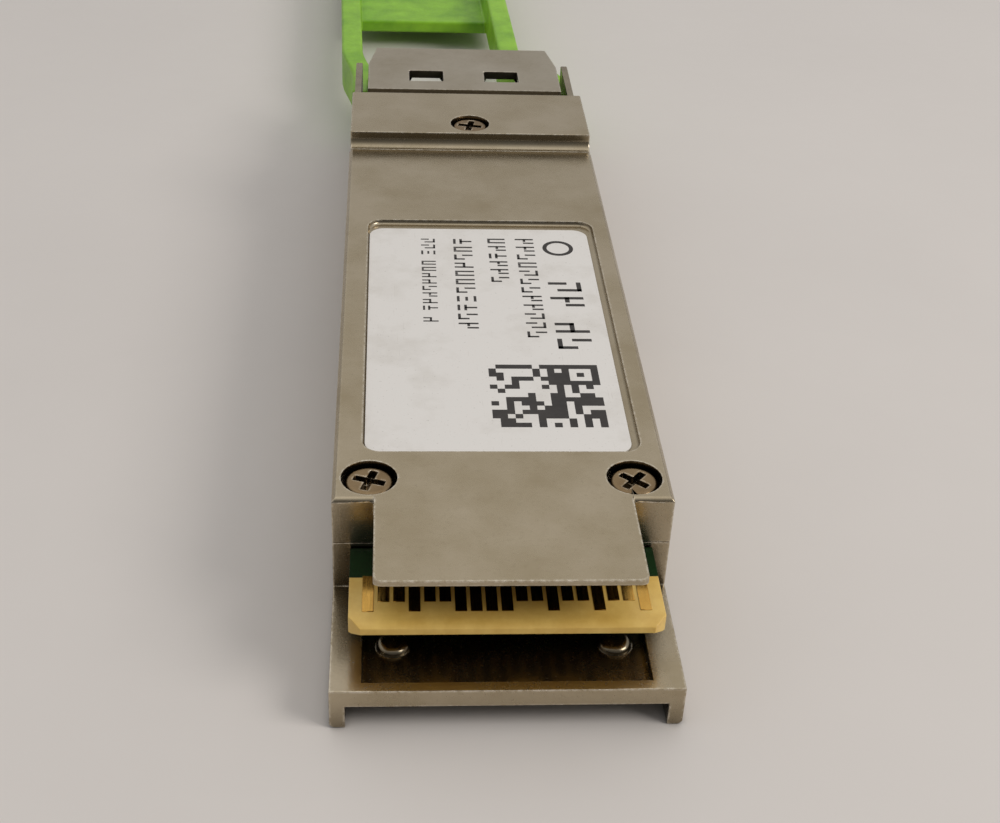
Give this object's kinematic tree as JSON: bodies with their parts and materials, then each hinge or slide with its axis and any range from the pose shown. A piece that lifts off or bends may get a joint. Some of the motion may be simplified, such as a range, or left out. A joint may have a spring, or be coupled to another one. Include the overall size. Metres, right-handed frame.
{
  "type": "pluggable optical transceiver module",
  "caption": "Pluggable optical transceiver: cast metal shell with label cover, edge-contact card, duplex fibre receptacle, sprung release slide and soft pull tab.",
  "frame": {"origin": "middle of the flat heat-sink face, halfway between the card end of the shell and the cage stop", "axes": "+Y along the module from the card edge towards the receptacle and pull tab, +Z from the heat-sink side to the label side, +X to the right seen from the card end"},
  "size_m": [0.021, 0.1183, 0.0096],
  "materials": {
    "nickel_casting": "satin nickel-plated zinc casting",
    "nickel_head": "satin nickel-plated receptacle casting",
    "steel_sheet": "pressed stainless sheet",
    "screw_nickel": "nickel-plated steel screws",
    "spring_steel": "drawn spring wire",
    "printed_label": "printed polyester label",
    "green_soft_plastic": "soft moulded plastic, satin",
    "solder_mask": "green solder mask on glass-fibre board",
    "gold": "gold-plated contacts",
    "black_package": "moulded chip package",
    "ceramic_capacitor": "fired ceramic",
    "ferrite": "sintered ferrite",
    "crystal_can": "bright metal can",
    "gold_plated_package": "gold-plated package",
    "kovar_lid": "plated iron-nickel lid",
    "silica_block": "polished glass",
    "submount": "aluminium nitride ceramic",
    "barrel_steel": "turned stainless steel",
    "zirconia": "ground white ceramic",
    "polyimide": "amber flexible circuit",
    "thermal_pad": "soft gap filler",
    "conductive_rubber": "dark conductive rubber"
  },
  "bodies": {
    "housing": {"base_housing": "nickel_casting", "label_cover": "nickel_casting", "label": "printed_label", "nose_cap": "nickel_casting", "receptacle_head": "nickel_head", "cover_screw_left": "screw_nickel", "cover_screw_right": "screw_nickel", "nose_screw": "screw_nickel", "seam_gasket_left": "conductive_rubber", "seam_gasket_right": "conductive_rubber", "nose_gasket": "conductive_rubber", "paddle_card": "solder_mask", "contact_row_top": "gold", "contact_row_bottom": "gold", "retimer_chip": "black_package", "retimer_chip_thermal_pad": "thermal_pad", "laser_driver_chip": "black_package", "laser_driver_chip_thermal_pad": "thermal_pad", "receiver_amplifier_chip": "black_package", "receiver_amplifier_chip_thermal_pad": "thermal_pad", "microcontroller": "black_package", "power_regulator": "black_package", "inductor_1": "ferrite", "inductor_2": "ferrite", "crystal": "crystal_can", "capacitor_1": "ceramic_capacitor", "capacitor_2": "ceramic_capacitor", "capacitor_3": "ceramic_capacitor", "capacitor_4": "ceramic_capacitor", "transmitter_package": "gold_plated_package", "transmitter_lid": "kovar_lid", "transmitter_thermal_pad": "thermal_pad", "transmitter_barrel": "barrel_steel", "transmitter_ceramic_sleeve": "zirconia", "transmitter_flex": "polyimide", "receiver_package": "gold_plated_package", "receiver_lid": "kovar_lid", "receiver_thermal_pad": "thermal_pad", "receiver_barrel": "barrel_steel", "receiver_ceramic_sleeve": "zirconia", "receiver_flex": "polyimide", "multiplexer_block": "silica_block", "demultiplexer_block": "silica_block", "laser_array": "submount", "detector_array": "submount", "return_spring_left": "spring_steel", "return_spring_right": "spring_steel"},
    "release": {"release_slide": "steel_sheet", "pull_tab": "green_soft_plastic"}
  },
  "joints": [
    {"name": "release_travel", "type": "slide", "parent": "housing", "child": "release", "axis": [0, 1, 0], "range_m": [0, 0.0023], "stiffness_N_per_m": 500, "springref_m": -0.0015, "deforming": ["return_spring_left", "return_spring_right"]}
  ]
}
